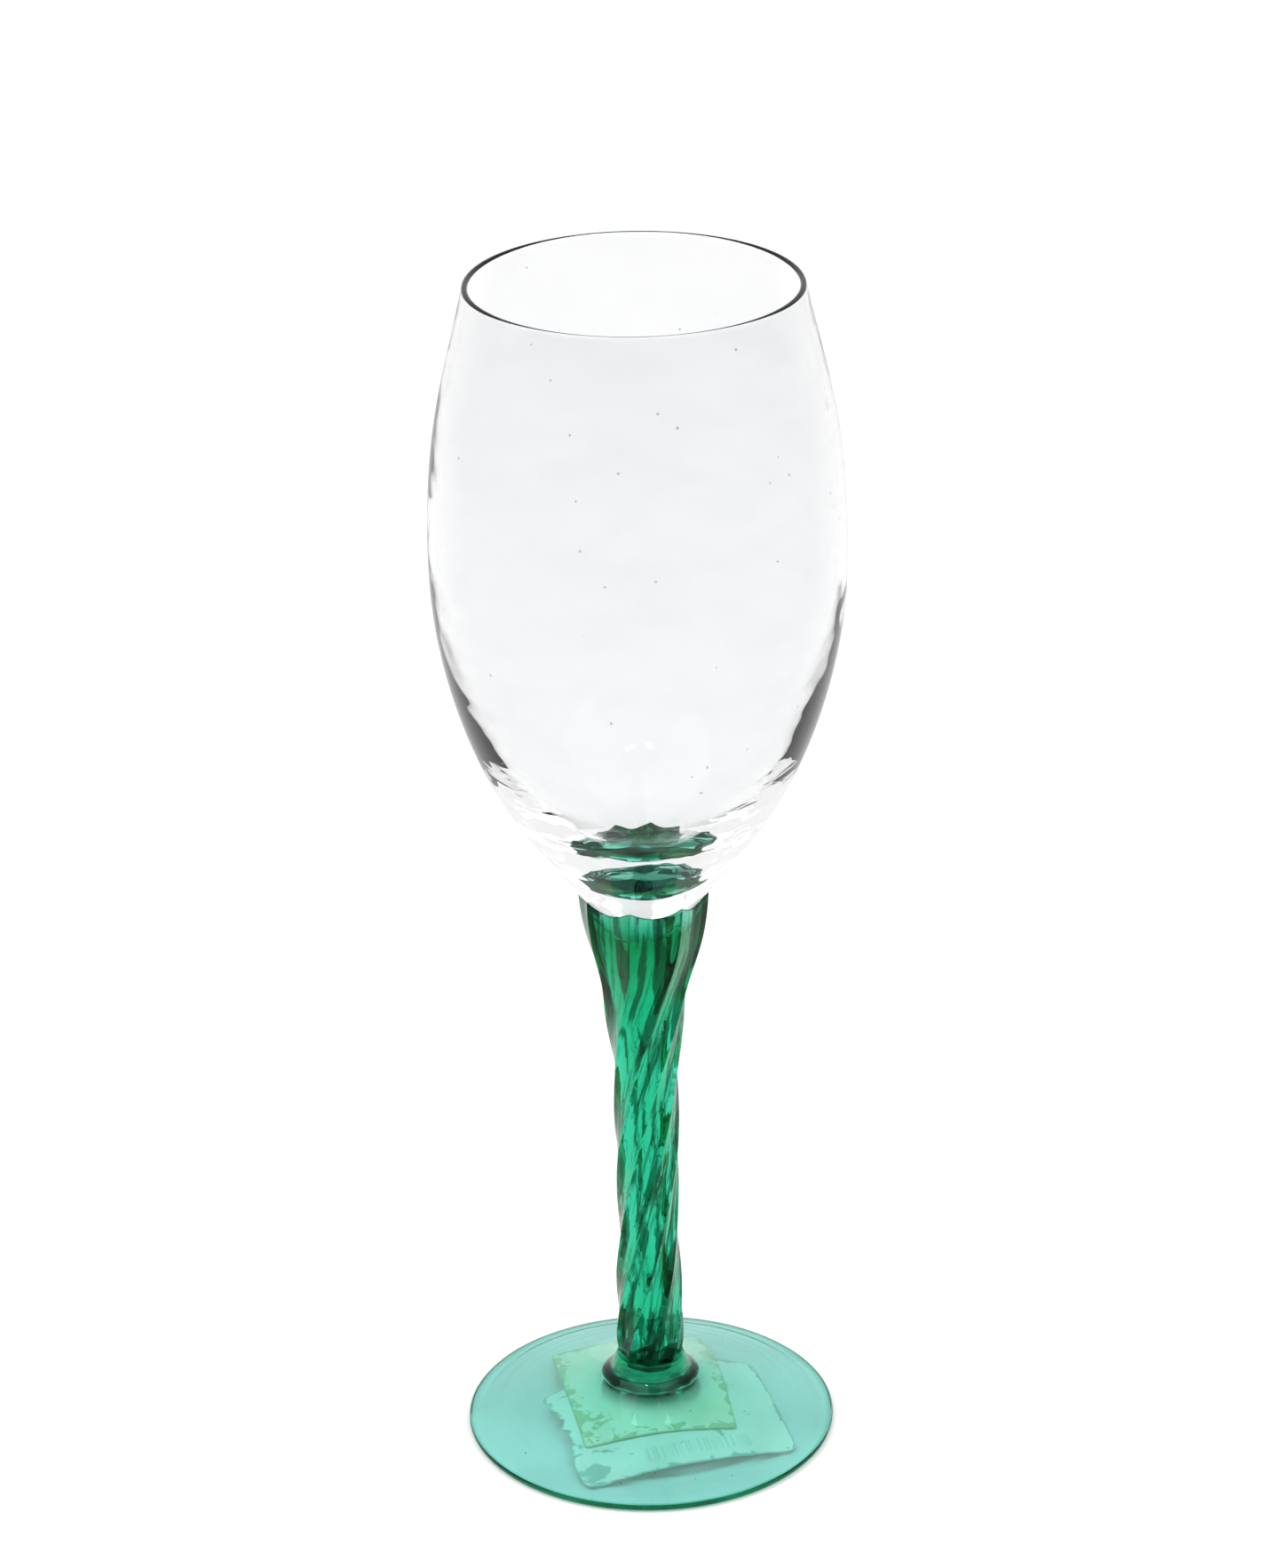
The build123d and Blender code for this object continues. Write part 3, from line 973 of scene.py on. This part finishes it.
# Studio, in metres and watts
FLOOR_HALF = 6.0
FLOOR_GREY = 0.75
FLOOR_GLOW = 0.06
FAR_GLOW = 0.33            # far from the glass, beyond the lamps' reach, so that no horizon shows
FAR_FROM, FAR_TO = 1.1, 2.5
REFLECTION_SHARE = 0.75    # share of the table and the room that mirrored rays see
ROOM_GREYS = [(0.0, 1.0), (0.3, 1.0), (0.6, 0.95), (1.0, 0.85)]    # from the horizon to overhead
LIGHT_TARGET = (0, 0, 0.12)

# Lamps: place, size and power. The side ones are given on the right and mirrored on the left
KEY_SOFTBOX = ((-1.0, -0.3, 1.9), (1.8, 1.8), 20.0)
FILL_SOFTBOX = ((1.2, -0.5, 1.8), (1.6, 1.6), 13.0)
SIDE_WINDOW = ((0.225, 0.30, 1.65), (0.08, 0.40), 0.6)
WINDOW_TARGET = (0.26, -0.10, 0.0)
FRONT_LAMP = ((0.20, -0.75, 1.25), (0.20, 0.04), 1.3)

# Camera
CAMERA_PLACE = (0.0, -0.8073, 0.4914)
CAMERA_DOWN = 23.953       # degrees below level
CAMERA_LEAN = -0.888
LENS = 111.82


def dimmed_reflection(nodes, links, full):
    """Strength that drops for mirrored rays, so that the glass mirrors its surroundings weakly."""
    path = nodes.new("ShaderNodeLightPath")
    glossy, reflected = path.outputs["Is Glossy Ray"], path.outputs["Is Reflection Ray"]
    mirrored = math_node(nodes, links, "MULTIPLY", glossy, reflected)
    return remap(nodes, links, mirrored, 0.0, 1.0, full, full * REFLECTION_SHARE)


def make_floor():
    """Plain pale table that glows a little, and more far away."""
    mesh = bpy.data.meshes.new("studio_floor")
    corners = [(x * FLOOR_HALF, y * FLOOR_HALF, 0) for x, y in ((-1, -1), (1, -1), (1, 1), (-1, 1))]
    mesh.from_pydata(corners, [], [(0, 1, 2, 3)])
    floor = bpy.data.objects.new("studio_floor", mesh)
    bpy.context.scene.collection.objects.link(floor)
    material, nodes, links, shader = new_material("pale_floor")
    links.new(dimmed_reflection(nodes, links, FLOOR_GREY), shader.inputs["Base Color"])
    glow = remap(nodes, links, axis_distance(nodes, links), FAR_FROM, FAR_TO, FLOOR_GLOW, FAR_GLOW)
    links.new(glow, shader.inputs["Emission Strength"])
    shader.inputs["Emission Color"].default_value = (*WHITE, 1)
    shader.inputs["Roughness"].default_value = 0.9
    shader.inputs["Specular IOR Level"].default_value = 0.0
    mesh.materials.append(material)


def make_world():
    """Pale room, white at the horizon and a little darker overhead."""
    world = bpy.data.worlds.new("studio")
    bpy.context.scene.world = world
    world.use_nodes = True
    nodes, links = world.node_tree.nodes, world.node_tree.links
    place = nodes.new("ShaderNodeTexCoord")
    split = nodes.new("ShaderNodeSeparateXYZ")
    ramp = nodes.new("ShaderNodeValToRGB")
    links.new(place.outputs["Generated"], split.inputs[0])
    links.new(split.outputs["Z"], ramp.inputs["Fac"])
    links.new(ramp.outputs["Color"], nodes["Background"].inputs["Color"])
    links.new(dimmed_reflection(nodes, links, 1.0), nodes["Background"].inputs["Strength"])
    elements = ramp.color_ramp.elements
    elements.remove(elements[1])
    for k, (place_at, grey) in enumerate(ROOM_GREYS):
        element = elements[0] if k == 0 else elements.new(place_at)
        element.position = place_at
        element.color = (grey, grey, grey, 1)


def soft_light(name, place, size, watts, target=LIGHT_TARGET):
    """Rectangular lamp that faces a target."""
    data = bpy.data.lights.new(name, "AREA")
    data.shape = "RECTANGLE"
    data.size, data.size_y = size
    data.energy = watts
    light = bpy.data.objects.new(name, data)
    light.location = place
    light.rotation_euler = (Vector(target) - Vector(place)).to_track_quat("-Z", "Y").to_euler()
    bpy.context.scene.collection.objects.link(light)


def mirrored(place, side):
    """A place on the right for side 1, and its mirror image on the left for side -1."""
    return (side * place[0], place[1], place[2])


def make_lights():
    """Two large softboxes, and on each side a window and a front lamp for the small highlights."""
    soft_light("key_softbox", *KEY_SOFTBOX)
    soft_light("fill_softbox", *FILL_SOFTBOX)
    for side, side_name in ((-1, "left"), (1, "right")):
        place, size, watts = SIDE_WINDOW
        target = mirrored(WINDOW_TARGET, side)
        soft_light("window_" + side_name, mirrored(place, side), size, watts, target)
        place, size, watts = FRONT_LAMP
        soft_light("front_lamp_" + side_name, mirrored(place, side), size, watts)


def make_camera():
    """Camera in front of the glass and above it, looking down, with a slight lean."""
    data = bpy.data.cameras.new("camera")
    data.sensor_width = 36.0
    data.lens = LENS
    data.clip_start = 0.01
    camera = bpy.data.objects.new("camera", data)
    camera.location = CAMERA_PLACE
    look = Euler((math.radians(90 - CAMERA_DOWN), 0, 0)).to_matrix()
    lean = Euler((0, 0, math.radians(CAMERA_LEAN))).to_matrix()
    camera.rotation_euler = (look @ lean).to_euler()
    bpy.context.scene.collection.objects.link(camera)
    bpy.context.scene.camera = camera


def set_up_render():
    """Plain colours, and enough bounces for light to come through several walls of glass."""
    scene = bpy.context.scene
    scene.view_settings.view_transform = "Standard"
    scene.cycles.max_bounces = 40
    scene.cycles.transmission_bounces = 40
    scene.cycles.glossy_bounces = 16
    scene.cycles.diffuse_bounces = 12
    scene.cycles.blur_glossy = 0.0     # light that reaches the table through the foot stays whole
    scene.cycles.transparent_max_bounces = 16
    scene.cycles.caustics_reflective = True
    scene.cycles.caustics_refractive = True


clear_glass = glass(
    "clear_glass", None, 0.0, ripple=0.10, ripple_scale=90.0, smudge=0.02,
    reflection=CLEAR_REFLECTION, clean=CLEAR_SURFACE, film=CLEAR_FILM,
)
add_specks(clear_glass, spacing=6.6 * MM, radius=0.33 * MM, share=0.6, tint=CLEAR_SPECK)
green_glass = glass(
    "green_glass", STEM_GREEN, STEM_DENSITY, ripple=0.12, ripple_scale=160.0, smudge=0.02,
    reflection=STEM_REFLECTION,
)
add_painted_shade(green_glass)
collar_glass = glass(
    "collar_glass", STEM_GREEN, STEM_DENSITY, ripple=0.35, ripple_scale=200.0, smudge=0.02,
    reflection=COLLAR_REFLECTION,
)
add_dark_ring(collar_glass)
foot_glass = glass(
    "foot_glass", FOOT_GREEN, FOOT_DENSITY, ripple=0.10, ripple_scale=120.0, smudge=0.03,
    reflection=FOOT_REFLECTION, clean=FOOT_SURFACE, film=FOOT_FILM,
)
add_dark_edge(foot_glass)
add_specks(foot_glass, spacing=3.5 * MM, radius=0.26 * MM, share=0.5, tint=FOOT_SPECK)
cream_paper = label_paper("label_paper_cream", *CREAM)
white_paper = label_paper("label_paper_white", *PALE)
add_bars(white_paper, BARS_LOW, BARS_HIGH)

make_bowl(clear_glass)
make_stem(green_glass)
make_collar(collar_glass)
make_foot(foot_glass)
paper("sticker_small", SMALL_LABEL, cream_paper, "price_label_small")
paper("sticker_large", LARGE_LABEL, white_paper, "price_label_large")

make_floor()
make_world()
make_lights()
make_camera()
set_up_render()
